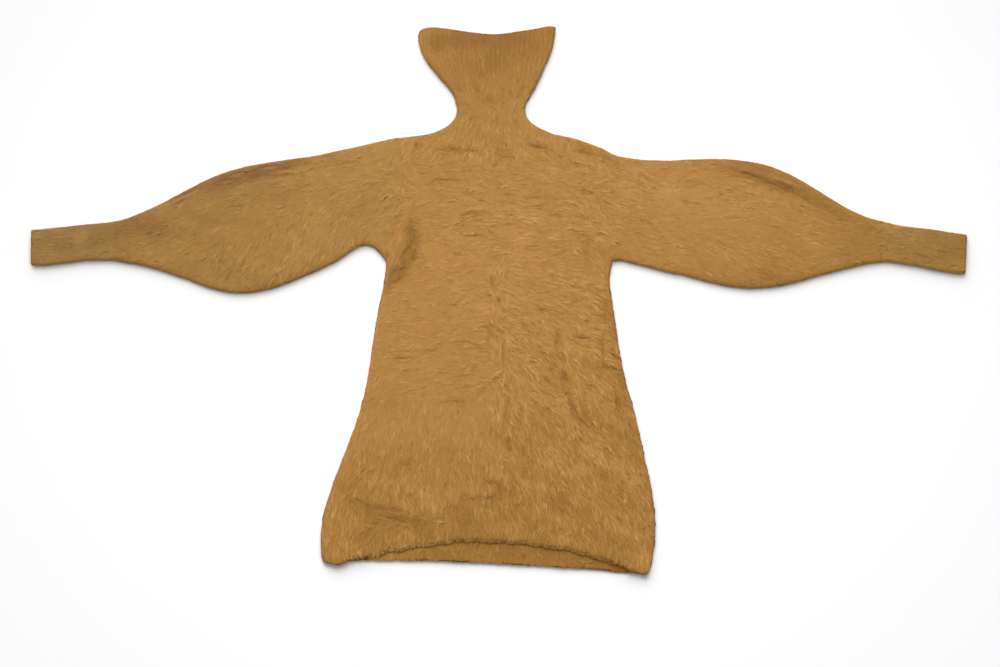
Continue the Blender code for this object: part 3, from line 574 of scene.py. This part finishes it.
def swayPanel(panel, hem):
    points = pointsOf(panel)
    places = points[:, :2] / mm
    points[:, 0] += sway["across"] * mm * wander(places, sway["wave"], 71)
    points[:, 1] += sway["across"] * mm * wander(places, sway["wave"], 72)
    if hem:
        near = ((places[:, 1] - sway["hemTop"]) / (sway["hemFull"] - sway["hemTop"])).clip(0, 1)
        points[:, 1] += sway["hem"] * mm * near * wander(places, sway["hemWave"], 73)
    movePoints(panel, points)


# the rolled rim turns in under itself, which leaves a dark line along the floor
tuck = {"below": 4.2, "in": 4.0, "clear": 6.0}


def tuckUnder(panel, around):
    points = pointsOf(panel)
    outward = normalsOf(panel)
    outward[:, 2] = 0
    low = ((tuck["below"] * mm - points[:, 2]) / (tuck["below"] * mm)).clip(0, 1)
    for i in np.flatnonzero((low > 0) & (np.linalg.norm(outward, axis=1) > 0.3)):
        away = Vector(outward[i])
        if around.ray_cast(Vector(points[i]) + away * (0.5 * mm), away, tuck["clear"] * mm)[0] is None:
            points[i] -= outward[i] * (low[i] * tuck["in"] * mm)
    movePoints(panel, points)


cloth = {}
for node, look in panels.items():
    cloth[node] = clothPanel(node)
    creasePanel(cloth[node])
    swayPanel(cloth[node], node == "front")
    print("panel", node, len(cloth[node].data.polygons), "faces")


# the pile: brushed locks planted over every panel

# a lock is a three-sided spindle one unit long, widest at these places: one for a short lock, two for a long
widest = {1: (0.42, 0.42), 2: (0.28, 0.66)}


def modelLock(rings):
    deselectAll()
    form = {"vertices": 3, "depth": 1, "end_fill_type": "TRIFAN", "location": (0, 0, 0.5)}
    if rings == 1:
        bpy.ops.mesh.primitive_cone_add(radius1=1, radius2=0, **form)
    else:
        bpy.ops.mesh.primitive_cylinder_add(radius=1, **form)
    lock = bpy.context.active_object
    bpy.ops.object.transform_apply(location=True, rotation=True, scale=True)
    corners = pointsOf(lock)
    rim = np.hypot(corners[:, 0], corners[:, 1]) > 0.5
    corners[rim, 2] = np.where(corners[rim, 2] < 0.5, *widest[rings])
    faces = [list(face.vertices) for face in lock.data.polygons]
    bpy.data.objects.remove(lock)
    triangles = [face for face in faces if len(face) == 3]
    for a, b, c, d in [face for face in faces if len(face) == 4]:
        triangles += [[a, b, c], [a, c, d]]
    return corners, np.array(triangles)


lockShapes = {1: modelLock(1), 2: modelLock(2)}

# the tops of the inner sides, where the hem begins and where the rays that look down for the cloth start
innerTop = 4.6 * mm
hemTop = -400 * mm
overhead = 50 * mm
down = Vector((0, 0, -1))
up = Vector((0, 0, 1))


def groundOf(panelList):
    points, faces = [], []
    for panel in panelList:
        start = len(points)
        points += [vertex.co.copy() for vertex in panel.data.vertices]
        faces += [[start + i for i in face.vertices] for face in panel.data.polygons]
    return BVHTree.FromPolygons(points, faces)


ground = groundOf(cloth.values())
for panel in cloth.values():
    tuckUnder(panel, ground)
ground = groundOf(cloth.values())
print("ground tree ready")


# the top of the cloth under a spot and the way it faces, or nothing twice
def topAt(x, y):
    return ground.ray_cast(Vector((x, y, overhead)), down)[:2]


# ribs under the pile: they run up the collar and along the cuffs (axis 1 or 0), closing in where the piece
# narrows unless they are upright, and fade in between two places in millimetres
ribs = {
    "collar": {"count": 28, "height": 0.45, "along": 1, "from": 345, "full": 440, "upright": 0.5},
    "cuff_left": {"count": 11, "height": 0.13, "along": 0, "from": -680, "full": -710, "upright": 0.0},
    "cuff_right": {"count": 11, "height": 0.13, "along": 0, "from": 640, "full": 690, "upright": 0.0},
}


def ribField(panel, rib):
    points = pointsOf(panel)[:, :2] / mm
    along, across = points[:, rib["along"]], points[:, 1 - rib["along"]]
    stations = np.linspace(along.min(), along.max(), 40)
    near = [np.abs(along - station) < 8 for station in stations]
    low = np.array([across[n].min() for n in near])
    high = np.array([across[n].max() for n in near])
    places = fieldPlaces()
    station = places[:, rib["along"]]
    left, right = np.interp(station, stations, low), np.interp(station, stations, high)
    share = (places[:, 1 - rib["along"]] - left) / (right - left)
    shown = ((station - rib["from"]) / (rib["full"] - rib["from"])).clip(0, 1)
    upright = (places[:, 1 - rib["along"]] - low.mean()) / (high - low).max()
    phase = mixed(share, upright, rib["upright"]) + 0.006 * wander(places, 70, 61)
    uneven = 0.75 + 0.35 * wander(places, 45, 62)
    furrow = (0.5 + 0.5 * np.cos(2 * math.pi * rib["count"] * phase)) ** 2
    ridge = (0.35 - furrow) * uneven
    inside = (share > -0.05) & (share < 1.05)
    return (rib["height"] * shown * ridge * inside).reshape(fieldSize)


# relief of the coat in millimetres: broad locks, finer ones, and the ribs where they show through
relief = {"sleek": 0.06, "ruffled": 0.52, "broad": 0.6, "fine": 0.8, "sunk": -0.1}

# short crinkles strewn along the lie of the pile, most of them where it is ruffled
crinkles = {"count": 9000, "length": (6, 19), "halfWidth": (1.4, 2.1), "depth": (0.25, 1.1), "raised": 0.5,
            "bow": 0.16, "stray": 0.35, "sleekShare": 0.12, "ruffledShare": 1.4, "seed": 51}


def crinkleStrokes():
    draw = np.random.default_rng(crinkles["seed"])
    count = crinkles["count"]
    places = fieldLow + draw.random((count, 2)) * fieldSize * fieldStep
    cell = inField(places)
    kept = draw.random(count) < crinkles["sleekShare"] + crinkles["ruffledShare"] * ruffleField[cell]
    heading = np.arctan2(comb[cell][:, 1], comb[cell][:, 0]) + draw.normal(0, crinkles["stray"], count)
    length = draw.uniform(*crinkles["length"], count)
    bow = draw.normal(0, crinkles["bow"], count) * length
    halfWidth = draw.uniform(*crinkles["halfWidth"], count)
    height = draw.uniform(*crinkles["depth"], count)
    height *= np.where(draw.random(count) < crinkles["raised"], 0.9, -0.9)
    ahead = np.stack([np.cos(heading), np.sin(heading)], axis=1)
    aside = np.stack([-ahead[:, 1], ahead[:, 0]], axis=1)
    strokes = []
    for i in np.flatnonzero(kept):
        if topAt(*(places[i] * mm))[0] is not None:
            half = ahead[i] * length[i] / 2
            path = [places[i] - half, places[i] + aside[i] * bow[i], places[i] + half]
            strokes.append((path, halfWidth[i], height[i]))
    return strokes


comb, ruffleField = combField()
grains = relief["broad"] * combedGrain(comb, 2, 9, 31) + relief["fine"] * combedGrain(comb, 1, 6, 32)
# cubed, so that a few locks and furrows stand out of a nearly smooth coat
ridges = (grains ** 3 / 3.2).clip(-1.1, 2.2)
patchy = (0.8 + 0.5 * wander(fieldPlaces(), 45, 33)).clip(0.15, 1.8).reshape(fieldSize)
coatHeight = ridges * patchy * (relief["sleek"] + relief["ruffled"] * ruffleField ** 1.6)
pinched = onField(pinches)
crinkled = onField(crinkleStrokes())
ribbed = sum(ribField(cloth[node], rib) for node, rib in ribs.items())
coatHeight += pinched + crinkled + ribbed
coatSlope = np.stack(np.gradient(coatHeight, fieldStep), axis=-1)
print("coat relief ready")


# the inner side that can be seen has nothing above it
def openToSky(middle):
    return ground.ray_cast(Vector(middle) + up * mm, up)[0] is None


# the stretch of hem that the fringe hangs from, in millimetres
fringed = {"middle": -12, "reach": 190}


def scatter(panel, count, seed, coat):
    draw = np.random.default_rng(seed)
    panel.data.calc_loop_triangles()
    corners = np.zeros(len(panel.data.loop_triangles) * 3, int)
    panel.data.loop_triangles.foreach_get("vertices", corners)
    corners = corners.reshape(-1, 3)
    points, normals = pointsOf(panel), normalsOf(panel)
    a, b, c = (points[corners[:, i]] for i in range(3))
    area = np.linalg.norm(np.cross(b - a, c - a), axis=1) / 2
    facing = normals[corners].mean(axis=1)
    middle = (a + b + c) / 3
    upper = facing[:, 2] > 0.1
    lining = upper & (middle[:, 2] < innerTop) | (facing[:, 2] < -0.3) & (middle[:, 2] > innerTop)
    weight = area * np.where(upper, 1.0, coat["underShare"])
    weight *= np.where(np.abs(facing[:, 2]) < 0.4, coat["rimShare"], 1.0)
    if coat["hangs"]:
        rim = (facing[:, 1] < -0.25) & (middle[:, 1] < hemTop) & (middle[:, 2] > innerTop)
        rim &= np.abs(middle[:, 0] - fringed["middle"] * mm) < fringed["reach"] * mm
        weight = area * rim * (facing[:, 2] > -0.3)
    elif coat["lining"]:
        shown = np.array([low and openToSky(place) for low, place in zip(upper & lining, middle)])
        weight *= shown
    else:
        weight *= np.where(lining, 0.0, 1.0)
    i, j = inField(middle[:, :2] / mm)
    weight *= 1 - coat["favour"] + coat["favour"] * ruffleField[i, j] ** 3
    weight *= 1 - coat["folds"] + coat["folds"] * (np.abs(pinched[i, j]) / 0.4).clip(0, 1)
    picked = draw.choice(len(area), count, p=weight / weight.sum())
    u, v = draw.random(count), draw.random(count)
    flip = u + v > 1
    u[flip], v[flip] = 1 - u[flip], 1 - v[flip]
    share = np.stack([1 - u - v, u, v], axis=1)
    places = (points[corners[picked]] * share[:, :, None]).sum(axis=1)
    facing = (normals[corners[picked]] * share[:, :, None]).sum(axis=1)
    return places, facing / np.linalg.norm(facing, axis=1)[:, None]


# a lock is rooted some way behind the spot it covers, so that no bare line is left where the lie turns round
def rootsBehind(places, normals, back):
    rooted, facing = places.copy(), normals.copy()
    lies = comb[inField(places[:, :2] / mm)].copy()
    for i in range(len(places)):
        if normals[i][2] > 0.25:
            root = places[i][:2] - lies[i] * back[i]
            found, turned = topAt(*root)
            if found is not None and abs(found.z - places[i][2]) < rimDrop:
                rooted[i], facing[i] = found, turned
    return rooted, facing, lies


# how far a lock may reach over a rim, and how far down the cloth must drop to count as one
rimReach = 0.8 * mm
rimDrop = 2.2 * mm

# the light comes low from beyond the collar, so slopes across it are softened to this share
acrossLight = np.array([1.0, 0.55, 1.0])

# painted shade in folds, crinkle troughs and rib furrows, and painted light on their raised sides: how much
# darker a millimetre of fold, or lighter a millimetre of rib, makes the pile
paintedFoldShading = {"pinch": 0.2, "crinkle": 0.2, "rib": 0.5}

# mottling of the coat: what kind, its wavelength in millimetres and its seed
mottling = (("broadMottle", 80, 21), ("fineMottle", 34, 23))

# how many strands a lock shows across and along
strandScale = {"across": 2.2, "along": 1.4}

# what grows with the ruffle: its value where the coat is sleek, and how much full ruffle adds
ruffling = {"curl": (0.4, 0.6), "rise": (0.2, 0.8), "depth": (0.45, 1.1), "toneStep": (0.3, 1.3),
            "paintedRidgeShading": (0.5, 2.6), "broadMottle": (0.02, 0.08), "fineMottle": (0.01, 0.08)}


def byRuffle(what, ruffle):
    sleek, more = ruffling[what]
    return sleek + more * ruffle


# walks each lock along the lie of the pile, over the cloth and around its edges
def followCloth(places, normals, lies, strays, curls, steps, reaches, droop):
    stations = len(steps)
    path = np.zeros((len(places), stations + 1, 3))
    facing = np.zeros_like(path)
    edgy = np.zeros(len(places), bool)
    for i in range(len(places)):
        here, normal = Vector(places[i]), Vector(normals[i])
        path[i, 0], facing[i, 0] = here, normal
        lie = lies[i]
        turn = strays[i]
        ended = False
        for j in range(stations):
            step = steps[j][i]
            ahead = Vector((lie[0] * math.cos(turn) - lie[1] * math.sin(turn),
                            lie[0] * math.sin(turn) + lie[1] * math.cos(turn), 0))
            ahead -= normal * ahead.dot(normal)
            if ahead.length < 0.2:
                ahead = Vector((-normal.y, normal.x, 0))
            ahead.normalize()
            if ended:
                here = here + (ahead - up) * (0.25 * reaches[i])
                path[i, j + 1], facing[i, j + 1] = here, normal
                continue
            probe = here + ahead * step
            found = None
            if normal.z > 0.25:
                found, turned = topAt(probe.x, probe.y)
                fallen = 0 if found is None else here.z - found.z
                if fallen > rimDrop + 0.1 * step or fallen > 0.6 * rimDrop and found.z < innerTop:
                    for share in (0.75, 0.5, 0.25):
                        nearer = here + ahead * (step * share)
                        found, turned = topAt(nearer.x, nearer.y)
                        if found is not None and here.z - found.z < rimDrop:
                            here = found
                            break
                    here = here + ahead * reaches[i] - up * (0.3 * reaches[i])
                    normal = (normal + ahead * 0.2).normalized()
                    path[i, j + 1], facing[i, j + 1] = here, normal
                    ended = True
                    edgy[i] = True
                    continue
            if found is None:
                edgy[i] = edgy[i] or normal.z > 0.25
                found, turned, _, _ = ground.find_nearest(probe)
            else:
                found.z = max(found.z, here.z - droop * step)
            here, normal = found, turned
            path[i, j + 1], facing[i, j + 1] = here, normal
            turn += curls[i]
            row = min(max(round((here.x / mm - fieldLow[0]) / fieldStep), 0), fieldSize[0] - 1)
            column = min(max(round((here.y / mm - fieldLow[1]) / fieldStep), 0), fieldSize[1] - 1)
            onward = comb[row, column]
            lie = onward if onward[0] * lie[0] + onward[1] * lie[1] > 0 else -onward
    return path, facing, edgy


# locks on the front's hem rim hang out and down to the band behind it
def hangFrom(places, draw, levels, length):
    out = draw.normal(0, 0.22, len(places))
    drop = (places[:, 2] - innerTop).clip(0.5 * mm, None) * draw.uniform(0.6, 1.0, len(places))
    run = np.stack([np.sin(out), -np.cos(out), np.zeros(len(places))], axis=1) * (length * 0.55)[:, None]
    path = np.stack([places + run * level for level in levels], axis=1)
    path[:, :, 2] -= drop[:, None] * (np.array(levels)[None] ** 1.6)
    forward = -0.05 - 0.35 * np.array(levels)[None] + draw.normal(0, 0.12, len(places))[:, None]
    aside = np.repeat(0.4 * np.sin(out)[:, None], len(levels), axis=1)
    return path, unit(np.stack([aside, forward, np.full(forward.shape, 0.8)], axis=2))


def buildMesh(name, points, faces):
    pile = bpy.data.objects.new(name, bpy.data.meshes.new(name))
    bpy.context.scene.collection.objects.link(pile)
    mesh = pile.data
    mesh.vertices.add(len(points))
    mesh.vertices.foreach_set("co", points.reshape(-1))
    mesh.loops.add(len(faces) * 3)
    mesh.loops.foreach_set("vertex_index", faces.reshape(-1))
    mesh.polygons.add(len(faces))
    mesh.polygons.foreach_set("loop_start", np.arange(len(faces)) * 3)
    mesh.update(calc_edges=True)
    mesh.shade_smooth()
    return pile


# every lock has a cell of its own in the UV map OFBake
def layCells(mesh, corners, count, faces):
    columns = math.ceil(math.sqrt(count))
    cellAt = np.stack([np.arange(count) % columns, np.arange(count) // columns], axis=1)
    inCell = np.stack([0.5 + 0.4 * corners[:, 0], 0.1 + 0.8 * corners[:, 2]], axis=1)
    uvPoints = (cellAt[:, None] + inCell[None]) / columns
    layer = mesh.uv_layers.new(name="OFBake")
    layer.data.foreach_set("uv", uvPoints.reshape(-1, 2)[faces.reshape(-1)].reshape(-1))


# the tone of the pile before a coat adds its own: mottled, with painted shade and light by place, painted
# shade in the folds and rib furrows and painted light on their raised sides
def toneAt(places, within, ruffled):
    tone = 0.5 + alongStrokes(paintedShading, places, 0.2)
    for kind, wavelength, seed in mottling:
        tone += byRuffle(kind, ruffled) * wander(places, wavelength, seed)
    for kind, field in (("pinch", pinched), ("crinkle", crinkled), ("rib", ribbed)):
        tone += paintedFoldShading[kind] * field[within]
    return tone


def growPile(name, panel, coat):
    each = coat["perTuft"]
    tufts = coat["count"] // each
    draw = np.random.default_rng(coat["seed"])
    length = draw.uniform(*coat["length"], tufts) * mm
    back = length * draw.uniform(0, 0.7, tufts) * (not coat["hangs"])
    places, normals, lies = rootsBehind(*scatter(panel, tufts, coat["seed"] + 1, coat), back)
    ruffle = ruffleField[inField(places[:, :2] / mm)]
    strays = draw.normal(0, 1, tufts) * (coat["stray"] + coat["felted"] * (1 - 2 * ruffle).clip(0, 1))
    curls = draw.normal(0, 1, tufts) * coat["curl"] * byRuffle("curl", ruffle)
    corners, faces = lockShapes[coat["rings"]]
    levels = np.unique(np.round(corners[:, 2], 4))
    steps = np.diff(levels)[:, None] * length
    reaches = rimReach * draw.uniform(0.4, 1.8, tufts)
    if coat["hangs"]:
        path, facing = hangFrom(places, draw, levels, length)
        edgy = np.ones(tufts, bool)
    else:
        path, facing, edgy = followCloth(places, normals, lies, strays, curls, steps, reaches, coat["droop"])
    rise = coat["rise"] * byRuffle("rise", ruffle) * draw.uniform(0.6, 1.3, tufts) * mm
    rise = np.where(edgy, 0.3 * rise, rise)

    # each tuft's locks start side by side and draw together towards its tip
    count = tufts * each
    path, facing, rise, ruffled = (np.repeat(part, each, axis=0) for part in (path, facing, rise, ruffle))
    run = np.diff(path, axis=1)
    run = unit(np.concatenate([run, run[:, -1:]], axis=1))
    side = unit(np.cross(facing, run))
    crown = np.cross(run, side)
    spread = np.tile(np.arange(each), tufts) - (each - 1) / 2 + draw.uniform(-0.4, 0.4, count)
    spread *= coat["apart"] * mm
    slide = draw.uniform(-1, 1, count) * coat["slide"] * mm
    jostle = draw.normal(0, 1, count) * coat["jostle"] * mm
    tilt = np.zeros_like(path)
    for j, level in enumerate(levels):
        gathered = spread * (1 - coat["gather"] * level) + jostle * level
        path[:, j] += side[:, j] * gathered[:, None] + run[:, j] * slide[:, None]
        cell = inField(path[:, j, :2] / mm)
        flatness = np.abs(facing[:, j, 2]) ** 2
        onRelief = np.maximum(coatHeight[cell], relief["sunk"]) * flatness
        tilt[:, j, :2] = -coatSlope[cell] * (coat["relit"] * flatness)[:, None] * acrossLight[:2]
        arch = coat["arch"][j] * rise * (1 + 0.15 * jostle / mm)
        path[:, j] += facing[:, j] * (arch + (coat["seat"] + onRelief) * mm)[:, None]

    halfWidth = draw.uniform(*coat["width"], count) / 2 * mm
    halfDepth = halfWidth * coat["flatness"] * byRuffle("depth", ruffled).clip(0, 1)
    level = np.searchsorted(levels, np.round(corners[:, 2], 4))
    points = path[:, level] + side[:, level] * (halfWidth[:, None] * corners[:, 0])[:, :, None]
    points += crown[:, level] * (halfDepth[:, None] * corners[:, 1])[:, :, None]
    points[:, :, 2] = np.maximum(points[:, :, 2], 0.1 * mm)
    perLock = len(corners)
    allFaces = (faces[None] + (np.arange(count) * perLock)[:, None, None]).reshape(-1, 3)
    pile = buildMesh(name, points.reshape(-1, 3), allFaces)
    mesh = pile.data
    leaning = unit(facing + tilt)[:, level].reshape(-1, 3)
    soften = (coat["soften"] - coat["crisp"] * np.repeat(ruffled, perLock))[:, None]
    softened = unit(mixed(normalsOf(pile) * acrossLight, leaning, soften))
    mesh.normals_split_custom_set_from_vertices(softened.tolist())

    within = inField(path[:, 1, :2] / mm)
    unalike = np.repeat(draw.normal(0, 1, tufts), each) + draw.normal(0, 1, count)
    tone = toneAt(path[:, 0, :2] / mm, within, ruffled) + coat["tone"]
    tone += coat["toneStep"] * byRuffle("toneStep", ruffled) * unalike
    # painted light on the raised locks and painted shade in the furrows between them, stronger where the pile
    # is ruffled
    tone += coat["paintedRidgeShading"] * byRuffle("paintedRidgeShading", ruffled) * (ridges * patchy)[within]
    # painted shade towards the lock tips, where a coat asks for it
    byLevel = tone[:, None] + coat["tipShade"] * levels[None]
    addLayer(mesh, "tone", byLevel[:, level].clip(0, 1))
    strand = np.zeros((count, perLock, 3))
    strand[:, :, 0] = corners[:, 0] * strandScale["across"]
    strand[:, :, 1] = corners[:, 2] * strandScale["along"]
    strand[:, :, 2] = draw.uniform(0, 400, count)[:, None]
    addLayer(mesh, "strand", strand, "FLOAT_VECTOR")
    addLayer(mesh, "ruffle", np.repeat(ruffled, perLock))
    addLayer(mesh, "reach", np.tile(corners[:, 2], count))
    layCells(mesh, corners, count, allFaces)
    print("pile", name, count, "locks", len(allFaces), "triangles")
    return pile


# the kinds of coat, with sizes in millimetres. The lie strays and curls by radians, and the arch lifts a lock
# by shares of its rise from root to tip. Relit is how strongly the relief turns the light on it, soften how
# far its own shading gives way to the coat's, and favour and folds draw it to ruffled places and to folds
undercoat = {"perTuft": 1, "rings": 1, "length": (13, 24), "width": (2.4, 3.6), "flatness": 0.22, "rise": 0.2,
             "arch": (-0.5, 1, 0.15), "seat": 0.1, "stray": 0.08, "felted": 0.3, "curl": 0.06, "droop": 0.35,
             "relit": 1.8, "soften": 0.97, "crisp": 0.1, "tone": 0, "toneStep": 0.03, "paintedRidgeShading": 0.08,
             "tipShade": 0, "apart": 0, "slide": 0, "jostle": 0, "gather": 0, "favour": 0, "folds": 0,
             "underShare": 0.3, "rimShare": 2, "lining": False, "hangs": False}
topcoat = {**undercoat, "length": (9, 21), "width": (1.1, 2.0), "flatness": 0.35, "rise": 0.35, "seat": 0.25,
           "stray": 0.11, "curl": 0.1, "relit": 1.6, "crisp": 0.3, "tone": 0.02, "toneStep": 0.05,
           "underShare": 0}
kinds = {
    "undercoat": undercoat,
    "topcoat": topcoat,
    # wisps are painted lighter, a painted highlight on the hairs that stand proud of the coat
    "wisps": {**undercoat, "perTuft": 3, "rings": 2, "length": (12, 27), "width": (1.0, 1.7), "flatness": 0.4,
              "rise": 0.7, "arch": (-0.5, 0.8, 1, 0.2), "seat": 0.15, "stray": 0.2, "felted": 0.1,
              "curl": 0.13, "relit": 1.4, "soften": 0.65, "tone": 0.26, "toneStep": 0.06, "paintedRidgeShading": 0.03,
              "apart": 1, "slide": 4, "jostle": 0.4, "gather": 0.7, "favour": 0.9, "underShare": 0.1,
              "rimShare": 0},
    # the band's lower tone is painted shade, for the shade it lies in under the front's hem
    "band_pile": {**undercoat, "lining": True, "length": (7, 13), "width": (1.6, 2.6), "tone": -0.3,
                  "toneStep": 0.09, "stray": 0.35, "underShare": 0},
    # the hem fringe is painted darker towards its tips, as shade where it hangs down into the gap under the
    # hem
    "hem_fringe": {**undercoat, "hangs": True, "length": (3, 10), "width": (1.2, 2.2), "tone": 0.04,
                   "tipShade": -0.08, "toneStep": 0.1},
    "fold_hair": {**topcoat, "folds": 1, "length": (5, 9), "width": (1.3, 2.2), "seat": 0.6, "rise": 0.1,
                  "relit": 2, "toneStep": 0.03, "rimShare": 0},
}

# each panel's coats, with their seeds and numbers of locks
planted = {
    "front": {"undercoat": (101, 18500), "topcoat": (105, 32000), "wisps": (111, 3900),
              "fold_hair": (113, 6500), "hem_fringe": (115, 2100)},
    "back": {"undercoat": (121, 6600), "band_pile": (125, 2400)},
    "sleeve_left": {"undercoat": (131, 10000), "topcoat": (135, 9000), "wisps": (141, 600),
                    "fold_hair": (143, 2400)},
    "sleeve_right": {"undercoat": (151, 10000), "topcoat": (155, 9000), "wisps": (161, 600),
                     "fold_hair": (163, 2400)},
    "cuff_left": {"undercoat": (171, 2000), "topcoat": (175, 1600), "fold_hair": (177, 500)},
    "cuff_right": {"undercoat": (181, 2000), "topcoat": (185, 1600), "fold_hair": (187, 500)},
    "collar": {"undercoat": (191, 6500), "topcoat": (195, 5000), "wisps": (201, 420),
               "fold_hair": (203, 1400)},
}
coats = {}
for node, rows in planted.items():
    for kind, (seed, count) in rows.items():
        coats[node + "_" + kind] = {**kinds[kind], "on": node, "seed": seed, "count": count}
coats["front_undercoat"]["width"] = (2.8, 4.0)


# the ground shows between the locks in the pile's tone, with the same painted shade and light, and is painted
# darker where the pile stands away from it, for the shade in the gaps
def toneGround(panel):
    places = pointsOf(panel)[:, :2] / mm
    tone = knit["tone"] + alongStrokes(paintedShading, places, 0.2) - knit["sunk"] * ruffleField[inField(places)]
    addLayer(panel.data, "tone", tone.clip(0, 1))


for panel in cloth.values():
    toneGround(panel)
piles = {name: growPile(name, cloth[coat["on"]], coat) for name, coat in coats.items()}


# finish

hairMaterials = {dye: brushedHair("brushed_camel_hair_" + dye, dye) for dye in camel}
for node, look in panels.items():
    material = knitGround("knitted_camel_ground_" + node, look["dye"], look["hairTurn"])
    cloth[node].data.materials.append(material)
for name, pile in piles.items():
    pile.data.materials.append(hairMaterials[panels[coats[name]["on"]]["dye"]])


# what each piece rides on; the frame parts that the cloth replaces are hidden

for node, look in panels.items():
    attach(cloth[node], "root")
    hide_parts(node)
for name, pile in piles.items():
    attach(pile, "root")
print("pieces ride on root:", len(cloth) + len(piles))


# floor, light and camera

# matt white paper: bright and without shine, so that only the garment's own soft shadow shows
floorSize = 12.0
bpy.ops.mesh.primitive_plane_add(size=floorSize, location=(0, 0, 0))
floor = bpy.context.active_object
floor.name = "studio_floor"
floorMaterial = bpy.data.materials.new("matt_white_paper")
floorMaterial.use_nodes = True
floorMaterial.node_tree.nodes["Principled BSDF"].inputs["Base Color"].default_value = linear("#FDFDFD")
floorMaterial.node_tree.nodes["Principled BSDF"].inputs["Roughness"].default_value = 0.9
floor.data.materials.append(floorMaterial)

world = bpy.data.worlds.new("soft_studio")
bpy.context.scene.world = world
world.use_nodes = True
world.node_tree.nodes["Background"].inputs["Color"].default_value = (1, 1, 1, 1)
world.node_tree.nodes["Background"].inputs["Strength"].default_value = 0.40


def aim(lamp, place, target):
    lamp.location = place
    lamp.rotation_euler = (Vector(target) - Vector(place)).to_track_quat("-Z", "Y").to_euler()
    bpy.context.scene.collection.objects.link(lamp)


window = bpy.data.lights.new("window_light", "SUN")
window.angle = math.radians(60)
window.energy = 2.75
aim(bpy.data.objects.new("window_light", window), (-0.5, 3.0, 1.9), (0, 0, 0))
pool = bpy.data.lights.new("overhead_light", "AREA")
pool.shape = "DISK"
pool.size = 0.9
pool.energy = 5
aim(bpy.data.objects.new("overhead_light", pool), (0, 0.12, 1.3), (0, 0.12, 0))

cameraAt = Vector((0.002, -1.0874, 2.1026))
lookAt = Vector((0.002, -0.1069, 0))
camera = bpy.data.objects.new("camera", bpy.data.cameras.new("camera"))
bpy.context.scene.collection.objects.link(camera)
camera.location = cameraAt
camera.rotation_euler = (lookAt - cameraAt).to_track_quat("-Z", "Y").to_euler()
camera.data.sensor_width = 36
camera.data.lens = 49.45
bpy.context.scene.camera = camera
bpy.context.scene.view_settings.view_transform = "Standard"
